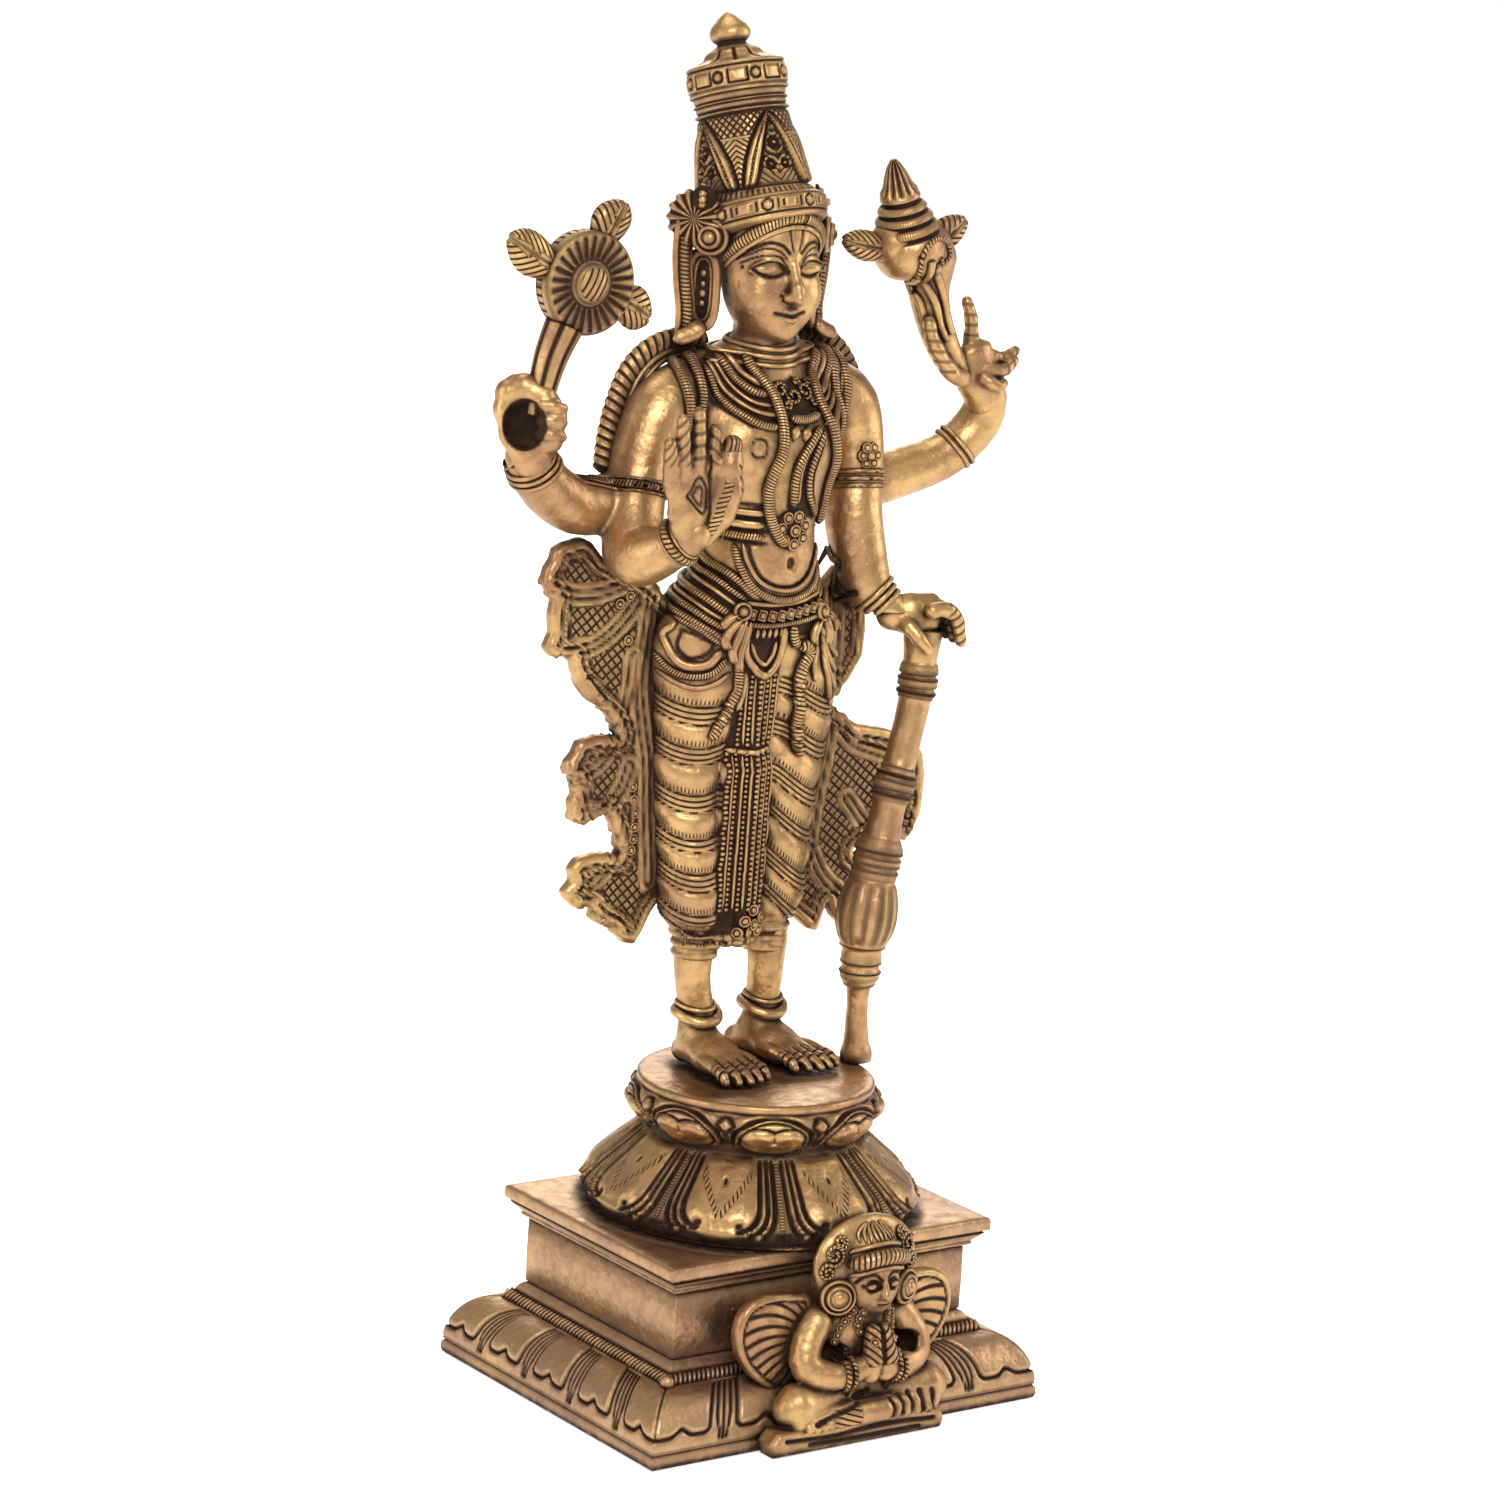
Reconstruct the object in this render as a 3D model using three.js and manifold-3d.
import * as THREE from "three";
import { mergeVertices } from "three/addons/utils/BufferGeometryUtils.js";
import Module from "manifold-3d";

// Brass figure of Vishnu with four arms, on a lotus pedestal and a moulded plinth with Garuda in front.
// Millimetres, +Z up, the figure faces -Y, and the origin is the centre of the plinth's underside.

// Driving dimensions of the plinth
const plinthWidth = 125;
const plinthDepth = 101;
const baseLipHeight = 4.2;
const torusHeight = 13.2;
const torusInset = 11;
const cordHeight = 2.6;
const cordInset = 9.8;
const filletHeight = 2.8;
const dadoInset = 15.9;
const dadoHeight = 17.8;
const cymaHeight = 4.6;
const slabLipHeight = 4;
const slabInset = 11;
const petalsPerSide = 5;
const basePetalRelief = 1.8;

// Driving dimensions of the lotus pedestal
const skirtRadius = 44.8;
const skirtHeight = 20;
const waistRadius = 28.5;
const waistHeight = 2.6;
const cupRadius = 33.6;
const cupHeight = 10;
const discRadius = 31.6;
const discHeight = 2.6;
const skirtPetals = 8;
const cupPetals = 8;
const pointsPerPetal = 4;
const skirtPetalRelief = 2.8;
const cupPetalRelief = 2;
const skirtTurn = THREE.MathUtils.degToRad(-2);
const cupTurn = THREE.MathUtils.degToRad(18.5);

// The figure's own height, the clearance between castings, and where the figure stands on the disc
const figureHeight = 277.4;
const figurePart = figureHeight / 222;
const seatGap = 0.3;

// Garuda's own height
const garudaHeight = 59.4;
const garudaPart = garudaHeight / 47.5;

// Levels that follow from the heights above
const torusBase = baseLipHeight;
const cordBase = torusBase + torusHeight;
const filletBase = cordBase + cordHeight;
const dadoBase = filletBase + filletHeight;
const cymaBase = dadoBase + dadoHeight;
const slabBase = cymaBase + cymaHeight;
const plinthTop = slabBase + slabLipHeight;
const lotusBase = plinthTop + seatGap;
const waistBase = lotusBase + skirtHeight;
const cupBase = waistBase + waistHeight;
const discBase = cupBase + cupHeight;
const discTop = discBase + discHeight;
const figureBase = discTop + seatGap;

const wasm = await Module();
wasm.setup();

// Joining and cutting of closed meshes
function solidOf(geometry) {
  const bare = geometry.clone();
  bare.deleteAttribute("normal");
  bare.deleteAttribute("uv");
  const merged = mergeVertices(bare, 1e-4);
  return new wasm.Manifold(
    new wasm.Mesh({
      numProp: 3,
      vertProperties: new Float32Array(merged.attributes.position.array),
      triVerts: new Uint32Array(merged.index.array),
    }),
  );
}

function geometryOf(solid) {
  const mesh = solid.getMesh();
  const positions = new Float32Array(mesh.numVert * 3);
  for (let i = 0; i < mesh.numVert; i++) {
    const start = i * mesh.numProp;
    positions.set(mesh.vertProperties.subarray(start, start + 3), i * 3);
  }
  const geometry = new THREE.BufferGeometry();
  geometry.setAttribute("position", new THREE.BufferAttribute(positions, 3));
  geometry.setIndex(new THREE.BufferAttribute(new Uint32Array(mesh.triVerts), 1));
  geometry.computeVertexNormals();
  return geometry;
}

function joined(geometries) {
  return geometries.map(solidOf).reduce((whole, next) => whole.add(next));
}

// A casting is solid inside: a space that its overlapping forms close off is filled
function filled(solid) {
  const outer = solid.decompose().filter((body) => body.volume() > 0);
  return outer.reduce((whole, next) => whole.add(next));
}

// A closed skin through rings that have the same number of points, with a fan over each end
function loft(rings) {
  const count = rings[0].length;
  const positions = [];
  const faces = [];
  for (const ring of rings) {
    for (const p of ring) positions.push(p.x, p.y, p.z);
  }
  for (let i = 0; i + 1 < rings.length; i++) {
    for (let j = 0; j < count; j++) {
      const a = i * count + j;
      const b = i * count + ((j + 1) % count);
      faces.push(a, b, b + count, a, b + count, a + count);
    }
  }
  const last = (rings.length - 1) * count;
  const ends = [rings[0], rings[rings.length - 1]].map((ring) => {
    const middle = new THREE.Vector3();
    for (const p of ring) middle.add(p);
    return middle.divideScalar(count);
  });
  const firstCentre = positions.length / 3;
  for (const c of ends) positions.push(c.x, c.y, c.z);
  for (let j = 0; j < count; j++) {
    const k = (j + 1) % count;
    faces.push(firstCentre, k, j, firstCentre + 1, last + j, last + k);
  }
  const geometry = new THREE.BufferGeometry();
  geometry.setAttribute("position", new THREE.Float32BufferAttribute(positions, 3));
  geometry.setIndex(faces);
  return geometry;
}

// A stack of level ellipses: each level is [z, x, y, half width, half depth]
function stack(levels, sides, shape = () => [1, 0]) {
  return loft(
    levels.map(([z, x, y, halfWidth, halfDepth], level) => {
      const ring = [];
      for (let i = 0; i < sides; i++) {
        const angle = (2 * Math.PI * i) / sides;
        const [swell, drop] = shape(angle, level);
        ring.push(
          new THREE.Vector3(
            x + halfWidth * swell * Math.cos(angle),
            y + halfDepth * swell * Math.sin(angle),
            z - drop,
          ),
        );
      }
      return ring;
    }),
  );
}

// A limb or a rope along a path: each point is [x, y, z, radius] or [x, y, z, radius across, radius deep]
function limb(path, sides = 8) {
  const points = path.map(([x, y, z]) => new THREE.Vector3(x, y, z));
  let across = new THREE.Vector3(1, 0, 0);
  const rings = points.map((p, i) => {
    const before = points[Math.max(i - 1, 0)];
    const after = points[Math.min(i + 1, points.length - 1)];
    const along = after.clone().sub(before).normalize();
    if (i === 0 && Math.abs(along.x) > 0.8) across.set(0, 0, -1);
    across = across.clone().addScaledVector(along, -across.dot(along)).normalize();
    const deep = along.clone().cross(across);
    const radiusAcross = path[i][3];
    const radiusDeep = path[i][4] ?? radiusAcross;
    const ring = [];
    for (let j = 0; j < sides; j++) {
      const angle = (2 * Math.PI * j) / sides;
      ring.push(
        p
          .clone()
          .addScaledVector(across, radiusAcross * Math.cos(angle))
          .addScaledVector(deep, radiusDeep * Math.sin(angle)),
      );
    }
    return ring;
  });
  return loft(rings);
}

// A round turned form: the profile is a list of [radius, height], and both its ends close on the axis
function turned(profile, sides) {
  const points = [[0, profile[0][1]], ...profile, [0, profile[profile.length - 1][1]]];
  const outline = points.map(([radius, height]) => new THREE.Vector2(radius, height));
  return new THREE.LatheGeometry(outline, sides).rotateX(Math.PI / 2);
}

function egg(x, y, z, halfWidth, halfDepth, halfHeight, sides = 8, rows = 5) {
  return new THREE.SphereGeometry(1, sides, rows)
    .rotateX(Math.PI / 2)
    .scale(halfWidth, halfDepth, halfHeight)
    .translate(x, y, z);
}

// A flat panel cut from an outline of [x, z] points, standing between two depths
function panel(outline, front, back) {
  const shape = new THREE.Shape(outline.map(([x, z]) => new THREE.Vector2(x, z)));
  return new THREE.ExtrudeGeometry(shape, { depth: back - front, bevelEnabled: false })
    .rotateX(Math.PI / 2)
    .translate(0, back, 0);
}

// Plinth: a square base with a torus of petals, a cord, a plain dado and a lipped slab
function rectangle(inset, z, grow) {
  const x = plinthWidth / 2 - inset + grow;
  const y = plinthDepth / 2 - inset + grow;
  return [
    new THREE.Vector3(-x, -y, z),
    new THREE.Vector3(x, -y, z),
    new THREE.Vector3(x, y, z),
    new THREE.Vector3(-x, y, z),
  ];
}

// The same four sides with points along each, so that petals can swell between them
function scalloped(inset, z, relief) {
  const corners = rectangle(inset, z, 0);
  const middle = new THREE.Vector3(0, 0, z);
  const stepsPerPetal = 3;
  const steps = petalsPerSide * stepsPerPetal;
  const ring = [];
  corners.forEach((corner, side) => {
    const next = corners[(side + 1) % 4];
    const outward = corner.clone().lerp(next, 0.5).sub(middle).normalize();
    for (let i = 0; i < steps; i++) {
      const p = corner.clone().lerp(next, i / steps);
      const groove = i % stepsPerPetal === 0;
      if (groove && i > 0) p.addScaledVector(outward, -relief);
      ring.push(p);
    }
  });
  return ring;
}

function torusInsetAt(share) {
  const angle = (share * Math.PI) / 2;
  return torusInset * (1 - Math.cos(angle)) + 0.4;
}

function plinthBase() {
  const rings = [scalloped(0.5, 0, 0), scalloped(0.2, baseLipHeight * 0.8, 0)];
  const rows = 3;
  for (let i = 0; i <= rows; i++) {
    const share = i / rows;
    const z = torusBase + torusHeight * Math.sin((share * Math.PI) / 2);
    const relief = basePetalRelief * Math.sin(Math.PI * Math.min(1, 0.25 + share * 0.75));
    rings.push(scalloped(torusInsetAt(share), z, relief));
  }
  return loft(rings);
}

function plinthProfile(grow) {
  const profile = [
    [cordInset + 0.8, cordBase - torusHeight / 2],
    [cordInset + 0.8, cordBase],
    [cordInset, cordBase + cordHeight * 0.35],
    [cordInset, filletBase - cordHeight * 0.2],
    [dadoInset - 2.2, filletBase],
    [dadoInset - 1.8, filletBase + filletHeight * 0.55],
    [dadoInset, dadoBase],
    [dadoInset, cymaBase],
    [dadoInset - 1.6, cymaBase + cymaHeight * 0.25],
    [slabInset + 1.8, cymaBase + cymaHeight * 0.7],
    [slabInset + 1, slabBase],
    [slabInset, slabBase + slabLipHeight * 0.25],
    [slabInset, plinthTop - slabLipHeight * 0.2],
    [slabInset + 0.5, plinthTop],
  ];
  return profile.map(([inset, z]) => rectangle(inset, z, grow));
}

function makePlinth() {
  return joined([plinthBase(), loft(plinthProfile(0))]);
}

// What garuda has to stay clear of: the plinth swelled by the clearance
function plinthKeepOut() {
  const rows = 6;
  const rings = [rectangle(0, -10, seatGap), rectangle(0, baseLipHeight, seatGap)];
  for (let i = 0; i <= rows; i++) {
    const share = i / rows;
    const z = torusBase + torusHeight * Math.sin((share * Math.PI) / 2);
    rings.push(rectangle(torusInsetAt(share) - 0.4, z + seatGap, seatGap));
  }
  const upper = plinthProfile(seatGap);
  const lift = new THREE.Vector3(0, 0, seatGap);
  upper[upper.length - 1].forEach((p) => p.add(lift));
  return joined([loft(rings), loft(upper)]);
}

// Lotus pedestal: a skirt of drooping petals, a waist, a cup of heart-shaped lobes and a plain disc
function petalSwell(angle, petals, relief, phase) {
  const turn = (angle * petals) / (2 * Math.PI) + phase;
  const share = turn - Math.floor(turn);
  return relief * (Math.sqrt(Math.sin(Math.PI * share)) - 1);
}

function makeLotus() {
  const bottomRadius = skirtRadius - 1.6;
  const levels = [
    [bottomRadius, 0, 0.3],
    [skirtRadius, 0.1, 0.8],
    [skirtRadius - 0.4, 0.26, 1],
    [skirtRadius - 4.2, 0.5, 1],
    [skirtRadius - 9.6, 0.74, 1],
    [waistRadius + 1.2, 1, 0.6],
  ];
  const skirt = stack(
    levels.map(([radius, share]) => [lotusBase + skirtHeight * share, 0, 0, radius, radius]),
    skirtPetals * pointsPerPetal,
    (angle, level) => {
      const [radius, , depth] = levels[level];
      return [1 + petalSwell(angle, skirtPetals, skirtPetalRelief * depth, 0) / radius, 0];
    },
  ).rotateZ(skirtTurn);
  const cupShare = (z) => (z - cupBase) / cupHeight;
  const cupLevels = [
    [waistRadius, -0.26, 0],
    [waistRadius, 0.04, 0.2],
    [(waistRadius + cupRadius) / 2, 0.25, 1],
    [cupRadius, 0.62, 1],
    [discRadius, 1, 0],
    [discRadius, cupShare(discTop - 0.6), 0],
    [discRadius - 0.6, cupShare(discTop), 0],
  ];
  const cup = stack(
    cupLevels.map(([radius, share]) => [cupBase + cupHeight * share, 0, 0, radius, radius]),
    cupPetals * pointsPerPetal,
    (angle, level) => {
      const [radius, , depth] = cupLevels[level];
      return [1 + petalSwell(angle, cupPetals, cupPetalRelief * depth, 0.5) / radius, 0];
    },
  ).rotateZ(cupTurn);
  return joined([skirt, cup]);
}

// What garuda has to stay clear of: the round of the skirt swelled by the clearance
function lotusKeepOut() {
  const clear = skirtRadius + seatGap;
  const profile = [
    [clear, lotusBase - seatGap],
    [clear, lotusBase + skirtHeight * 0.3],
    [clear - 4, lotusBase + skirtHeight * 0.55],
    [clear - 9, lotusBase + skirtHeight * 0.8],
  ];
  return solidOf(turned(profile, 48));
}

// The figure is laid out in 222 parts of its own height, with z counted from the disc
const bodyX = -3;
const headX = bodyX - 0.5;

function legFolds(path, folds, low, high) {
  // Each fold of the cloth is a raised cord round the leg, sagging at the front
  const spacing = (high - low) / folds;
  const cordRise = 1;
  const cordShare = 0.22;
  const sag = 2.4;
  const rings = [];
  const radiusAt = (z) => {
    const next = path.findIndex(([level]) => z <= level);
    const [z0, ...a] = path[Math.max(next - 1, 0)];
    const [z1, ...b] = path[next];
    const t = z1 > z0 ? (z - z0) / (z1 - z0) : 0;
    return a.map((value, k) => value + (b[k] - value) * t);
  };
  for (let fold = 0; fold < folds; fold++) {
    for (const [share, rise] of [
      [0, 0],
      [cordShare, cordRise],
    ]) {
      const z = low + spacing * (fold + share);
      const [x, y, radius] = radiusAt(z);
      rings.push([z, x, y, radius + rise, radius + rise]);
    }
  }
  const [x, y, radius] = radiusAt(high);
  rings.push([high, x, y, radius, radius]);
  return stack(rings, 8, (angle) => [1, sag * Math.max(0, -Math.sin(angle))]);
}

function legs() {
  const right = [
    [24, -12.5, 8.5, 6.3],
    [36, -13.2, 9, 6.8],
    [58.75, -15, 11, 7.6],
    [74, -15, 11.5, 8.7],
    [92, -13.5, 11, 9.6],
  ];
  const left = [
    [24, 6.6, 8.5, 6.3],
    [36, 7.2, 9, 6.8],
    [58.75, 9, 11, 7.6],
    [74, 10.4, 11.5, 8.7],
    [92, 9, 11, 9.6],
  ];
  const shin = (x, y, toX) =>
    limb(
      [
        [toX, 9.4, 8, 4],
        [toX, 9.2, 12.5, 5.7],
        [toX, 9.1, 16.5, 5.6],
        [toX, 9, 17.5, 4.1],
        [x, y, 28, 5.2],
      ],
      6,
    );
  return [
    legFolds(right, 6, 25, 86),
    legFolds(left, 6, 25, 86),
    shin(-12, 8.6, -9.8),
    shin(7, 8.6, 7.4),
  ];
}

function foot(x, splay, back) {
  // Across the top, each ring has a ridge for every toe, and the ridges rise towards the tips
  const toes = 5;
  const ankle = 6;
  const stations = [
    [13, 3, 6, 0, 0],
    [7, 4.6, 10.5, 0, 0],
    [1, 5.6, 7.4, 0, 0],
    [-4, 6, 4.2, 0.5, 0],
    [-7.6, 6.2, 2.8, 1.2, 1.6],
  ];
  return loft(
    stations.map(([y, halfWidth, height, groove, reach]) => {
      const centre = x + splay * (ankle - y);
      const ring = [new THREE.Vector3(centre + halfWidth, y + back, 0)];
      for (let i = 0; i <= 2 * toes; i++) {
        const across = 1 - i / toes;
        const ridge = i % 2 === 1;
        const arch = Math.sqrt(1 - 0.8 * across * across);
        const z = height * arch - (ridge ? 0 : groove);
        const tip = ridge ? -reach * (1 - 0.5 * Math.abs(across)) : 0;
        ring.push(new THREE.Vector3(centre + halfWidth * across, y + tip + back, z));
      }
      ring.push(new THREE.Vector3(centre - halfWidth, y + back, 0));
      return ring;
    }),
  );
}

// Hips with the raised belt cords and the sash that dips at the front
function hips() {
  const levels = [
    [62, 11, 13, 7.4, 0],
    [74, 11, 18.6, 9.2, 0],
    [88, 11, 23, 10.8, 0],
    [91.4, 10.9, 23.4, 11, -2],
    [92.4, 10.9, 24.6, 12.4, -2],
    [94.6, 10.8, 24.4, 12.4, -2],
    [95.6, 10.7, 22.6, 11.2, -2],
    [99.6, 10.2, 18.8, 11, 1],
    [100.6, 10, 19.4, 12.2, 2],
    [103, 9.6, 17.6, 12, 2],
    [104, 9.4, 15.4, 10.4, 2],
    [107.4, 8.8, 12.8, 9.8, 2],
  ];
  return stack(
    levels.map(([z, y, halfWidth, halfDepth]) => [z, bodyX, y, halfWidth, halfDepth]),
    10,
    (angle, level) => [1, levels[level][4] * Math.max(0, -Math.sin(angle)) ** 2],
  );
}

// Torso with the collar of necklaces raised round its shoulders and dipping over the chest
function torso() {
  const levels = [
    [102, 9, 14, 10.2, 0],
    [109, 8.2, 12.6, 9.8, 0],
    [116, 7.8, 12.6, 9.7, 0],
    [117.6, 7.6, 13.8, 10.6, 0],
    [120.6, 7.4, 14, 10.8, 0],
    [122, 7.4, 13.4, 10, 0],
    [133, 7.4, 16.2, 11.2, 0],
    [140.6, 8.4, 18.6, 10.8, 6],
    [141, 8.5, 19.4, 12, 6],
    [148, 10.4, 17.6, 10.2, 5],
    [154, 10, 6.6, 5.8, 0],
  ];
  return stack(
    levels.map(([z, y, halfWidth, halfDepth]) => [z, bodyX, y, halfWidth, halfDepth]),
    11,
    (angle, level) => [1, levels[level][4] * Math.max(0, -Math.sin(angle)) ** 2],
  );
}

function neckAndHead() {
  const neck = limb(
    [
      [bodyX, 10, 149, 6.2],
      [bodyX, 9, 155, 6],
      [headX, 9.2, 162, 5.6],
    ],
    7,
  );
  const head = stack(
    [
      [155.6, headX, 4.6, 2.6, 2.4],
      [157, headX, 5.6, 5.2, 4.6],
      [160.5, headX, 8, 8, 8],
      [165.5, headX, 9.8, 9.8, 10.2],
      [171.5, headX, 10.6, 10.6, 11.4],
      [179, headX, 11.4, 10.8, 11.6],
      [187, headX, 12.6, 10.2, 10.4],
    ],
    10,
  );
  const nose = limb(
    [
      [headX, 0.4, 173.6, 0.8],
      [headX, -2.1, 166, 1.7, 1.2],
      [headX, -0.2, 165, 1.5, 1],
    ],
    4,
  );
  const lips = egg(headX, 0.7, 161.9, 2.8, 1.2, 0.9, 5, 3);
  const eyes = [-1, 1].map((side) => egg(headX + side * 4.4, 1.5, 171.2, 2.9, 1.5, 1.2, 5, 3));
  return [neck, head, nose, lips, ...eyes];
}

// Long pierced ears with a round fan and a lock of hair at each side
function earAndLocks(side) {
  const ear = headX + side * 13.2;
  const hair = headX + side * (side < 0 ? 15 : 11.4);
  const loop = [];
  const turns = 6;
  for (let i = 0; i <= turns; i++) {
    const angle = 2 * Math.PI * (0.27 + (0.96 * i) / turns);
    loop.push([ear, 12.8 + 4 * Math.cos(angle), 165.5 + 8.4 * Math.sin(angle), 1.6]);
  }
  return [
    limb(loop, 4),
    egg(hair, 13.6, 178, 8.4, 3.4, 8, 8, 4),
    limb(
      [
        [hair + side * 2, 14.6, 174, 5],
        [hair + side * 5, 14.2, 163, 3.4],
        [hair + side * 4.4, 13.4, 155, 3],
        [hair + side * 1, 10.6, 150, 1.8],
      ],
      5,
    ),
  ];
}

// Tall crown that leans back, turned in mouldings, with a bud on top
const crownLean = 0.272;
const crownTilt = -0.07;
const crownFoot = new THREE.Vector3(headX - 0.9, 13.2, 182.5);

function leaned(geometry) {
  return geometry
    .rotateX(-crownLean)
    .rotateY(crownTilt)
    .translate(crownFoot.x, crownFoot.y, crownFoot.z);
}

function crown() {
  const body = turned(
    [
      [12.4, -5.6],
      [14.3, -4],
      [14.5, 0.6],
      [11.7, 2.2],
      [11, 6],
      [9.9, 14],
      [9, 21],
      [10.3, 24.2],
      [10.3, 28.6],
      [6.4, 30.6],
      [3, 33.4],
      [4, 35.4],
      [3.2, 37.4],
      [1.4, 39.4],
    ],
    11,
  );
  const leaves = [-1, 1].map((side) => {
    const blade = [];
    const steps = 3;
    for (let i = 0; i <= steps; i++) {
      const share = i / steps;
      const height = 6 + 12 * share;
      const radius = 11.2 - height * 0.1;
      const angle = side * (0.1 + 0.42 * Math.sin(share * 2.2));
      const width = 0.9 * Math.sin(Math.PI * (0.15 + 0.75 * share)) + 0.3;
      blade.push([radius * Math.sin(angle), -radius * Math.cos(angle), height, width]);
    }
    return limb(blade, 4);
  });
  return [body, ...leaves].map(leaned);
}

// Two front arms with armlets and bracelets: the right hand is raised, the left rests on the mace
function frontArms() {
  const right = limb(
    [
      [-22, 12, 144.5, 6.2],
      [-27.2, 11.6, 141.4, 6.8],
      [-31, 10.6, 134, 6.5],
      [-33, 9.4, 128.4, 6.1],
      [-33.3, 9.2, 127.4, 7],
      [-34.2, 8.2, 124.2, 7],
      [-34.6, 7.8, 123.2, 6.1],
      [-36, 5.6, 118.5, 6.1],
      [-38, 2.4, 113.6, 5.4],
      [-38.4, -2, 112.6, 4.6],
    ],
    6,
  );
  const forearm = limb(
    [
      [-37.6, 5, 114, 4.6],
      [-38.4, 1.5, 113.2, 5.9],
      [-37.6, -4, 114.6, 5.4],
      [-35.6, -9.2, 117.3, 4.3],
      [-35.3, -9.8, 117.7, 5],
      [-34.2, -11.6, 119.2, 4.8],
      [-33.6, -12.6, 120.4, 3.8],
    ],
    6,
  );
  const left = limb(
    [
      [16, 12, 144.5, 6.2],
      [20.6, 12, 141, 6.6],
      [23.2, 11.4, 134, 6],
      [22.9, 10.2, 128, 5.8],
      [22.9, 9.9, 127, 6.7],
      [22.6, 9.2, 123.6, 6.7],
      [22.5, 9, 122.6, 5.8],
      [22, 7.8, 116.5, 5.9],
      [22.8, 6, 109, 5.7],
      [24.2, 3.6, 102, 4.8],
      [26, 2, 99.6, 4.2],
      [26.4, 1.8, 99.2, 4.8],
      [28.2, 0.8, 97.4, 4.6],
      [29.8, 0, 96.2, 3.4],
    ],
    6,
  );
  return [right, forearm, left];
}

function raisedHand() {
  const palm = limb(
    [
      [-33.4, -12.4, 119, 3.8, 2.6],
      [-33, -13.4, 124, 4.9, 2.3],
      [-33, -13.8, 129.5, 5.4, 2],
      [-33.4, -14, 133.5, 5, 1.6],
    ],
    6,
  );
  const fingers = [];
  const lengths = [9.6, 12, 12.4, 10];
  lengths.forEach((length, i) => {
    const x = -37.6 + i * 2.75;
    const lean = (i - 1.5) * 0.05;
    fingers.push(
      limb(
        [
          [x, -13.8, 131.6, 1.25],
          [x + lean * length * 0.5, -14.3, 133 + length * 0.5, 1.35],
          [x + lean * length, -14.6, 132.4 + length, 1],
        ],
        4,
      ),
    );
  });
  const thumb = limb(
    [
      [-29.6, -13.6, 122.5, 1.9],
      [-27, -15, 127.5, 1.7],
      [-26.4, -15.6, 132, 1.1],
    ],
    4,
  );
  return [palm, ...fingers, thumb];
}

function maceHand() {
  const back = limb(
    [
      [28.8, 0.6, 96.8, 3.6, 3],
      [32, -0.8, 96.6, 4.2, 3],
      [36.6, -1.6, 96.8, 4.4, 2.6],
    ],
    6,
  );
  const fingers = [];
  for (let i = 0; i < 4; i++) {
    const y = -5.4 + i * 2.5;
    fingers.push(
      limb(
        [
          [34.4, y, 97.4, 1.4],
          [40.4, y - 0.4, 96.2, 1.5],
          [41.6, y - 0.8, 90.6, 0.9],
        ],
        4,
      ),
    );
  }
  const thumb = limb(
    [
      [29.4, -1.4, 96, 1.5],
      [30.4, -4.6, 93.6, 1.6],
      [32.4, -6, 91, 1.1],
    ],
    4,
  );
  return [back, ...fingers, thumb];
}

// Two back arms, which hold up the discus and the conch
function backArms() {
  const right = limb(
    [
      [-28, 14, 127, 5],
      [-34, 12.6, 123.4, 5.8],
      [-41, 11, 122.2, 5.8],
      [-48, 10, 122.8, 5.6],
      [-54.4, 9.2, 126.4, 5.4],
      [-58.4, 8.6, 130.4, 5.2],
      [-58.8, 8.5, 130.9, 6],
      [-60.4, 8, 133, 5.8],
      [-60.8, 7.9, 133.6, 4.9],
      [-64.4, 6.6, 140, 4.4],
    ],
    6,
  );
  const left = limb(
    [
      [20, 14, 121.4, 5],
      [28, 13.6, 122.8, 5.2],
      [37, 13, 124.8, 5],
      [46, 12.1, 127.4, 4.7],
      [49.6, 11.6, 129.4, 5.5],
      [51.8, 10.9, 131.2, 5.4],
      [55.6, 9.6, 136.4, 4.5],
      [55.8, 8, 141.6, 4.2],
      [53, 6.8, 145.8, 3.7],
    ],
    6,
  );
  return [right, left];
}

function discusHand() {
  const palm = egg(-64.6, 6.8, 141.4, 7.6, 4.6, 8.6, 8, 4);
  const hollow = egg(-66.6, 1.6, 140, 4.6, 3.2, 6, 8, 4);
  const fingers = [147.4, 144.4].map((z, i) =>
    limb(
      [
        [-70.6 + i * 0.4, 5.6, z - 1.4, 1.7],
        [-65, 2.8, z + 0.4, 1.7],
        [-57, 4.4, z - 1, 1.2],
      ],
      5,
    ),
  );
  return { solids: [palm, ...fingers], hollow };
}

function conchHand() {
  const palm = limb(
    [
      [51.2, 6.8, 144, 4.2, 3.4],
      [50.6, 6, 148.4, 4.8, 3],
      [49.6, 5.6, 151.6, 4.2, 2.4],
    ],
    6,
  );
  const fingers = [
    [
      [47.6, 5.4, 147.4, 1.5],
      [41.8, 4.4, 150.6, 1.6],
      [38, 4, 157.6, 1.2],
    ],
    [
      [48.6, 6.4, 150.6, 1.5],
      [49, 6.4, 156.4, 1.5],
      [47.4, 6.2, 161, 1.1],
    ],
    [
      [51, 6.4, 149.6, 1.5],
      [55.8, 7, 149.8, 1.5],
      [59, 7.2, 151.8, 1.1],
    ],
    [
      [51.4, 5.2, 148, 1.5],
      [55.4, 4.6, 146.8, 1.4],
      [58.4, 4.6, 147.6, 1],
    ],
  ].map((path) => limb(path, 4));
  return [palm, ...fingers];
}

// Discus: a bossed wheel with three flames and a stem
const wheelCentre = [-51.4, 5, 169];
const wheelTurn = -0.4;
const wheelRadius = 10.6;

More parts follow.
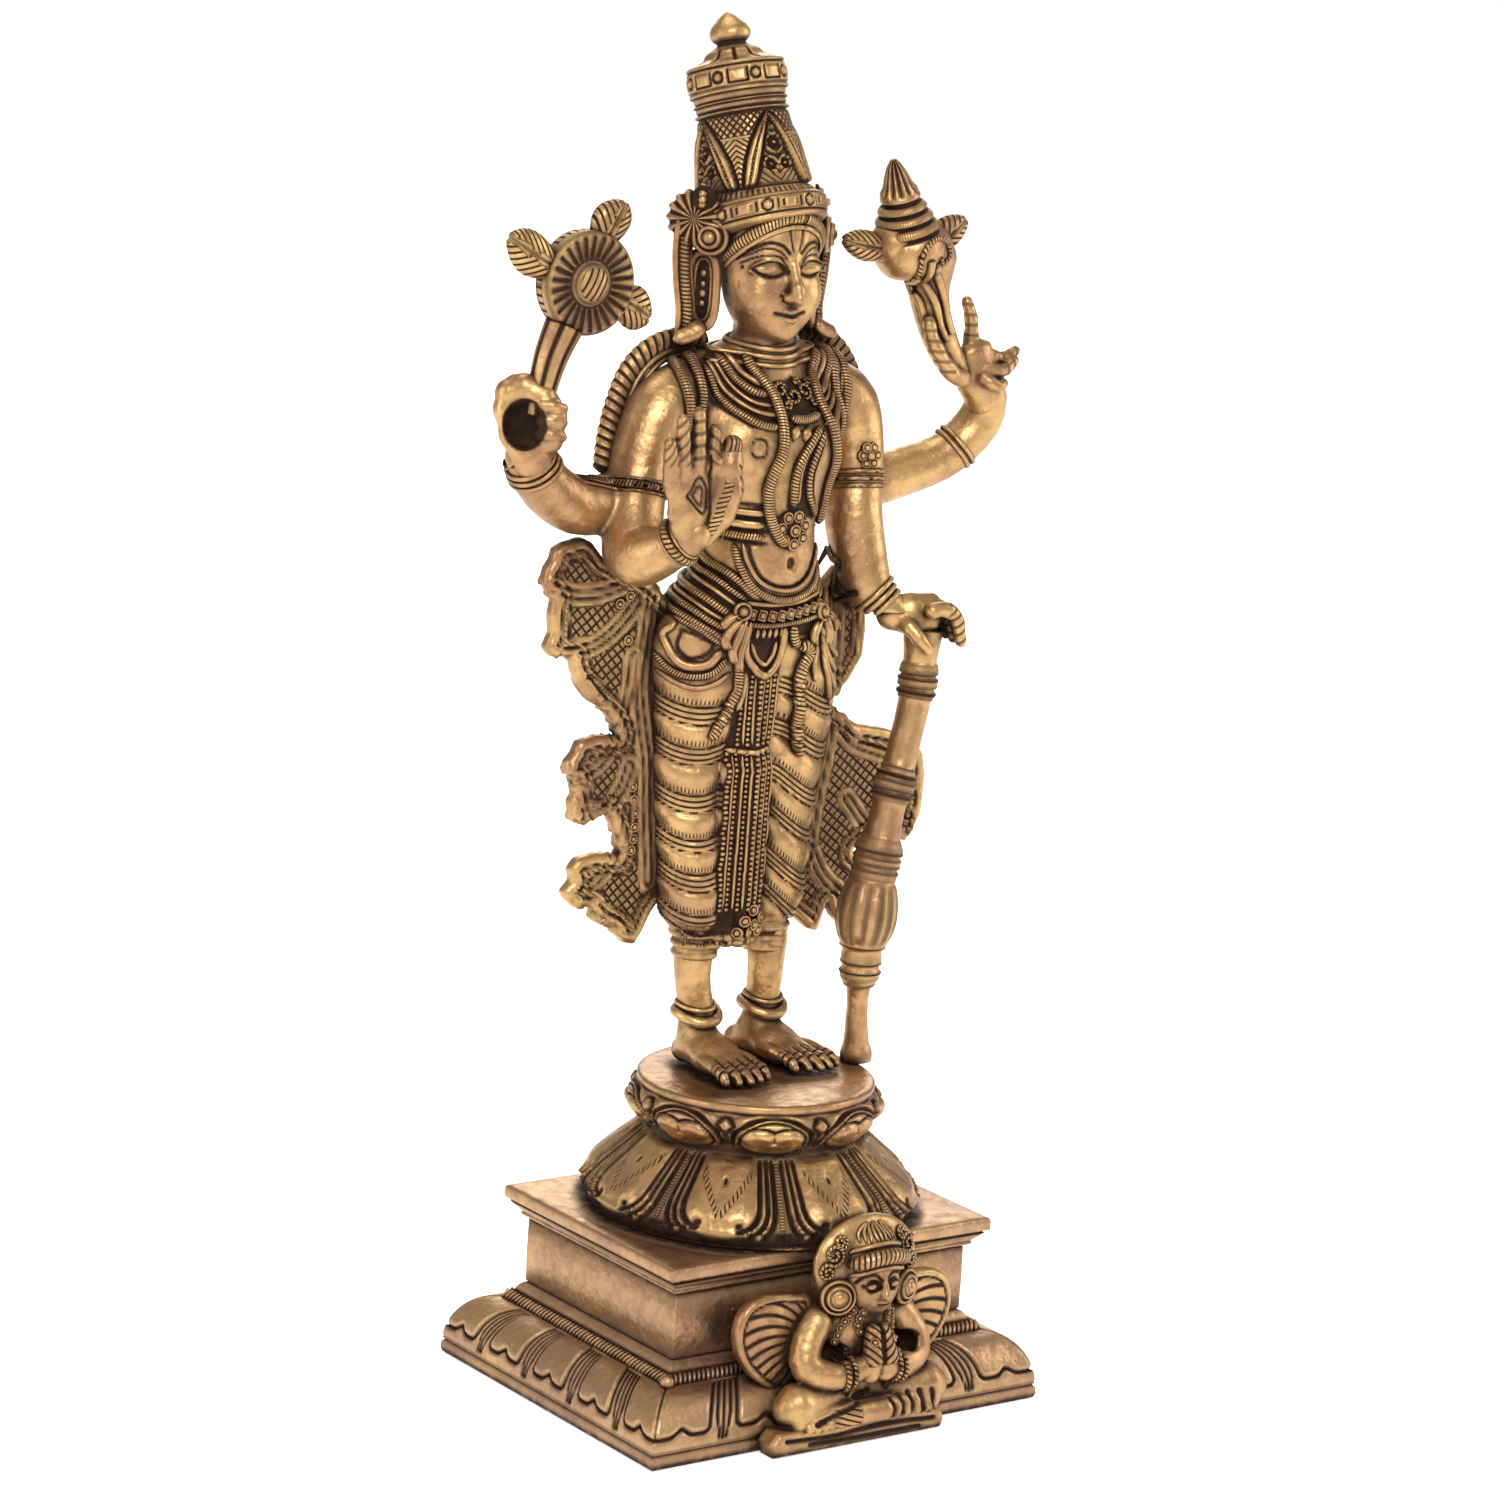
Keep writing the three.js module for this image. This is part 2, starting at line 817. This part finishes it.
function flame(angle, reach, halfWidth, thickness, centre) {
  const [cx, cy, cz] = centre;
  const outline = [
    [-halfWidth * 0.8, wheelRadius * 0.8],
    [-halfWidth, reach * 0.66],
    [-halfWidth * 0.62, reach * 0.9],
    [0, reach],
    [halfWidth * 0.62, reach * 0.9],
    [halfWidth, reach * 0.66],
    [halfWidth * 0.8, wheelRadius * 0.8],
  ];
  const turnedOutline = outline.map(([u, w]) => [
    cx + u * Math.cos(angle) - w * Math.sin(angle),
    cz + u * Math.sin(angle) + w * Math.cos(angle),
  ]);
  return panel(turnedOutline.reverse(), cy - thickness / 2, cy + thickness / 2);
}

function discus() {
  const [cx, cy, cz] = wheelCentre;
  const wheel = turned(
    [
      [9, -2.4],
      [wheelRadius, -1.4],
      [wheelRadius, 1.4],
      [9, 2.6],
      [4.8, 2.2],
      [3, 4.2],
    ],
    12,
  )
    .rotateX(Math.PI / 2)
    .translate(cx, cy, cz);
  const flames = [
    flame(wheelTurn, 18, 4, 4.4, wheelCentre),
    flame(wheelTurn + Math.PI / 2, 20.5, 4, 4.4, wheelCentre),
    flame(wheelTurn - Math.PI / 2, 17.6, 4, 4.4, wheelCentre),
  ];
  const stem = limb(
    [
      [-60.6, 5, 145, 2.8, 2.4],
      [-58.6, 5, 154, 2.9, 2.4],
      [-55.8, 5, 160.4, 3.4, 2.4],
    ],
    5,
  );
  return [wheel, ...flames, stem];
}

// Conch: a whorled spire over a plump body, with a flame at each side and a ribbon down to the hand
function conch() {
  const spire = turned(
    [
      [7.4, -9],
      [8.4, -5],
      [8, -1.4],
      [6.6, 0.4],
      [7.2, 1.4],
      [5.4, 4],
      [5.7, 5],
      [4, 7.4],
      [4.2, 8.4],
      [2.4, 12.4],
      [0.6, 16],
    ],
    8,
  )
    .rotateY(-0.3)
    .translate(27.6, 5, 177);
  const body = limb(
    [
      [24, 5, 175, 4, 5],
      [29, 5, 172.6, 6.4, 6],
      [34.6, 5, 170.6, 5.6, 5],
      [36.2, 5, 166, 4, 3.6],
      [38, 5, 160, 3.4, 2.8],
      [41.2, 5.2, 152.6, 3.2, 2.6],
      [45, 5.6, 147.4, 2.8, 2.4],
    ],
    5,
  );
  const leftFlame = limb(
    [
      [22, 5, 173.6, 3.4, 2.6],
      [17.4, 5, 173.8, 3.2, 2.2],
      [12.8, 5, 174.8, 3.4, 2.2],
    ],
    5,
  );
  const rightFlame = limb(
    [
      [35, 5, 173.4, 3.6, 2.6],
      [39, 5, 178, 3.4, 2.2],
      [42.8, 5, 182.4, 2.6, 2.2],
    ],
    5,
  );
  return [spire, body, leftFlame, rightFlame];
}

// Mace: a slender turned club with rings, a plump fluted bulb and a small foot
function mace() {
  const axis = new THREE.CatmullRomCurve3(
    [
      [25.2, -1.5, 0.2],
      [24.6, -1.5, 12],
      [25.1, -1.4, 28],
      [26.9, -1.2, 41],
      [29.9, -0.9, 56],
      [33, -0.5, 68],
      [35.6, -0.2, 80],
      [36.6, 0, 93],
    ].map(([x, y, z]) => new THREE.Vector3(x, y, z)),
  );
  const profile = [
    [0, 3.4],
    [0.06, 2.4],
    [0.14, 2.5],
    [0.19, 4.2],
    [0.25, 4.2],
    [0.29, 6],
    [0.35, 6.4],
    [0.4, 5.9],
    [0.44, 4.6],
    [0.47, 5.1],
    [0.52, 4.6],
    [0.62, 3.7],
    [0.64, 4.3],
    [0.69, 4.1],
    [0.705, 3.5],
    [0.82, 3.6],
    [0.84, 4.1],
    [1, 4.1],
  ];
  return limb(
    profile.map(([share, radius]) => {
      const p = axis.getPointAt(share);
      return [p.x, p.y, p.z, radius];
    }),
    6,
  );
}

// Scarf ends that fly out at each side of the legs in three tiers, cut to points
const scarfFront = 10.5;
const scarfBack = 13.5;
const scarfInner = 12;
const scarfFoot = 34;

// Each tier is its top corner [reach, height] and then the corners of its fringe, counted from there
const rightTiers = [
  [[50, 114], [-11, 0.5], [-2, -0.5], [-1, -3.6], [2, -7], [-1, -17], [-2, -20], [0, -22.4], [-9, -29], [-18, -37]],
  [[41, 73], [-11, 0], [-2, -0.8], [-1, -3.6], [2, -7], [-1, -17.2], [-9, -17.5], [-10.6, -22]],
  [[40.5, 48], [-11, 0], [-2, -0.8], [2, -7], [-1, -10.4], [-7, -11.6], [-14, -20], [-17.4, -19.6], [-21, -13]],
];
const leftTiers = [
  [[33, 100], [-7, 2], [-1, -6], [0, -14], [-9, -24]],
  [[52, 66], [-17, 5], [-4, 0.4], [-1, -8], [-1, -16], [-5, -22.6], [-9, -19], [-16, -21]],
  [[41, 44], [-6, -1], [-3, -10], [-9, -18], [-14, -12], [-16, -18.4], [-18.5, -17.4]],
];

function scarf(side, tiers) {
  const outline = [[scarfInner + 12, 105]];
  for (const [[reach, top], ...corners] of tiers) {
    for (const [x, z] of corners) outline.push([reach + x, top + z]);
  }
  outline.push([scarfInner, scarfFoot]);
  outline.push([scarfInner, 100]);
  const placed = outline.map(([x, z]) => [bodyX + side * x, z]);
  return panel(side > 0 ? placed.reverse() : placed, scarfFront, scarfBack);
}

// Garlands and jewellery that stand proud of the body
function garlands() {
  const pieces = [];
  for (const side of [-1, 1]) {
    const shoulder = side < 0 ? -1 : 0.86;
    pieces.push(
      limb(
        [
          [bodyX + side * 14, 14.6, 154, 2.2],
          [bodyX + shoulder * 23, 14.6, 153.8, 2.6],
          [bodyX + shoulder * 28.6, 14.6, 150, 2.6],
          [bodyX + shoulder * 32, 14.2, 144, 2.5],
          [bodyX + shoulder * 35.8, 13, 129, 2.1],
        ],
        5,
      ),
    );
    pieces.push(
      limb(
        [
          [bodyX + side * 9, 3.6, 151, 1.2],
          [bodyX + side * 7.4, -2.8, 142, 1.2],
          [bodyX + side * 5.6, -4.4, 132, 1.2],
          [bodyX + side * 3.4, -3.4, 120, 1.2],
        ],
        4,
      ),
    );
  }
  pieces.push(egg(bodyX + 0.6, -3, 118, 4.2, 1.8, 4.2, 7, 3));
  return pieces;
}

// Bows at the hips with hanging ends, and the pleats that fall between the legs
function girdle() {
  const pieces = [];
  for (const side of [-1, 1]) {
    const x = -2 + side * 7;
    pieces.push(
      limb(
        [
          [x - side * 2, -0.6, 98.4, 2],
          [x, -1.6, 95.4, 4.2, 2.6],
          [x + side * 0.6, -0.8, 90.6, 2.2],
          [x + side * 2.6, 2, 72, 1.6],
        ],
        4,
      ),
    );
  }
  const folds = 4;
  const rings = [
    [93, 15, 0.2],
    [60, 13, 2.2],
    [29.4, 14, 2.2],
  ].map(([z, width, front]) => {
    const ring = [];
    for (let i = 0; i <= 2 * folds; i++) {
      const ridge = i % 2 === 1;
      const x = bodyX - 0.6 + (i / (2 * folds) - 0.5) * width;
      ring.push(new THREE.Vector3(x, front + (ridge ? 0 : 2), z));
    }
    ring.push(new THREE.Vector3(bodyX - 0.6 + width / 2, 10, z));
    ring.push(new THREE.Vector3(bodyX - 0.6 - width / 2, 10, z));
    return ring;
  });
  return [...pieces, loft(rings.reverse())];
}

function makeFigure() {
  const hand = discusHand();
  const pieces = [
    ...legs(),
    foot(-9.4, 0.08, 0),
    foot(7.4, 0.3, 2.6),
    hips(),
    torso(),
    ...neckAndHead(),
    ...earAndLocks(-1),
    ...earAndLocks(1),
    ...crown(),
    ...frontArms(),
    ...raisedHand(),
    ...maceHand(),
    ...backArms(),
    ...hand.solids,
    ...conchHand(),
    ...discus(),
    ...conch(),
    mace(),
    scarf(-1, rightTiers),
    scarf(1, leftTiers),
    ...garlands(),
    ...girdle(),
  ];
  return filled(joined(pieces)).subtract(solidOf(hand.hollow));
}

// Garuda kneels with folded hands, a hood and two spread wings, in 47.5 parts of his own height.
// His y is counted from the front of the plinth, and negative is out in front.
const garudaX = 1.5;
const faceX = 3.2;

function wing(side) {
  const outline = [
    [6, 20],
    [9, 10.5],
    [16, 10],
    [24, 15.5],
    [27.6, 22],
    [27.4, 28],
    [23, 32],
    [10, 31],
  ];
  const placed = outline.map(([x, z]) => [side * x, z]);
  return panel(side > 0 ? placed : placed.reverse(), 3, 6.8);
}

function garudaBody() {
  const slab = panel(
    [
      [-23.4, 0],
      [20.8, 0],
      [20.8, 5],
      [-23, 5.2],
    ],
    -5.6,
    4,
  );
  const trunk = stack(
    [
      [4, garudaX, 4.4, 9, 6],
      [12, garudaX, 3.4, 9.5, 6.4],
      [18, garudaX, 3, 8, 5.6],
      [24.6, garudaX, 2.4, 10.6, 5.4],
      [28, 2, 2.4, 7.4, 4.6],
      [31, 2.6, 1.8, 3.4, 3.4],
    ],
    8,
  );
  const head = stack(
    [
      [26.6, faceX, -0.8, 1.8, 1.4],
      [28.4, faceX, -0.2, 4.4, 3.6],
      [31.6, faceX, 0.2, 6.2, 5],
      [38, faceX, 0.8, 7.4, 5.8],
      [42.6, faceX, 1.2, 7.2, 5.8],
      [46.5, faceX, 2.2, 3.4, 3],
    ],
    8,
  );
  const hood = egg(2.8, 2, 37.8, 13.2, 3.6, 10, 11, 4);
  const hands = egg(garudaX, -4.2, 22.6, 2.4, 2, 4.6, 5, 4);
  return [slab, trunk, head, hood, hands];
}

function garudaLimbs(side) {
  const hip = garudaX + side * 5;
  const knee = garudaX + side * 17.5;
  const thigh = limb(
    [
      [hip, 1.8, 10.4, 4.6],
      [knee - side * 2, -1.2, 11.6, 4.8],
      [knee + side * 2.4, -1, 10.6, 2.6],
    ],
    5,
  );
  const shin = limb(
    [
      [knee - side * 1, -2, 8, 3.2],
      [garudaX - side * 3, -3.6, 6.6, 2.8],
    ],
    4,
  );
  const arm = limb(
    [
      [garudaX + side * 11, 2, 25.6, 3.2],
      [garudaX + side * 14.4, 1, 20, 3],
      [garudaX + side * 12.2, -1, 15.8, 3],
      [garudaX + side * 0.8, -3.8, 21.4, 2],
    ],
    5,
  );
  const ear = egg(3 + side * 9, 1.8, 31, 3.4, 2.8, 3.6, 5, 3);
  return [thigh, shin, arm, ear];
}

function makeGaruda() {
  const pieces = [...garudaBody(), ...garudaLimbs(-1), ...garudaLimbs(1), wing(-1), wing(1)];
  return filled(joined(pieces));
}

function scaledTo(solid, share) {
  return solidOf(geometryOf(solid).scale(share, share, share));
}

// Materials, one for each casting
function brass(colour, roughness) {
  return new THREE.MeshStandardMaterial({ color: colour, roughness, metalness: 0.9 });
}

function casting(name, solid, material) {
  const mesh = new THREE.Mesh(geometryOf(solid), material);
  mesh.name = name;
  return mesh;
}

const vishnu = new THREE.Group();
vishnu.add(casting("plinth", makePlinth(), brass(0xb48a5c, 0.45)));
vishnu.add(casting("lotus_pedestal", makeLotus(), brass(0xc79a55, 0.42)));

const figure = casting(
  "vishnu_figure",
  scaledTo(makeFigure(), figurePart),
  brass(0xc9a05e, 0.42),
);
figure.position.z = figureBase;
vishnu.add(figure);

const garudaPlaced = scaledTo(makeGaruda(), garudaPart).translate([
  0,
  -plinthDepth / 2,
  0,
]);
const garudaClear = garudaPlaced.subtract(plinthKeepOut()).subtract(lotusKeepOut());
vishnu.add(casting("garuda_figure", garudaClear, brass(0xbf9656, 0.45)));

export default vishnu;
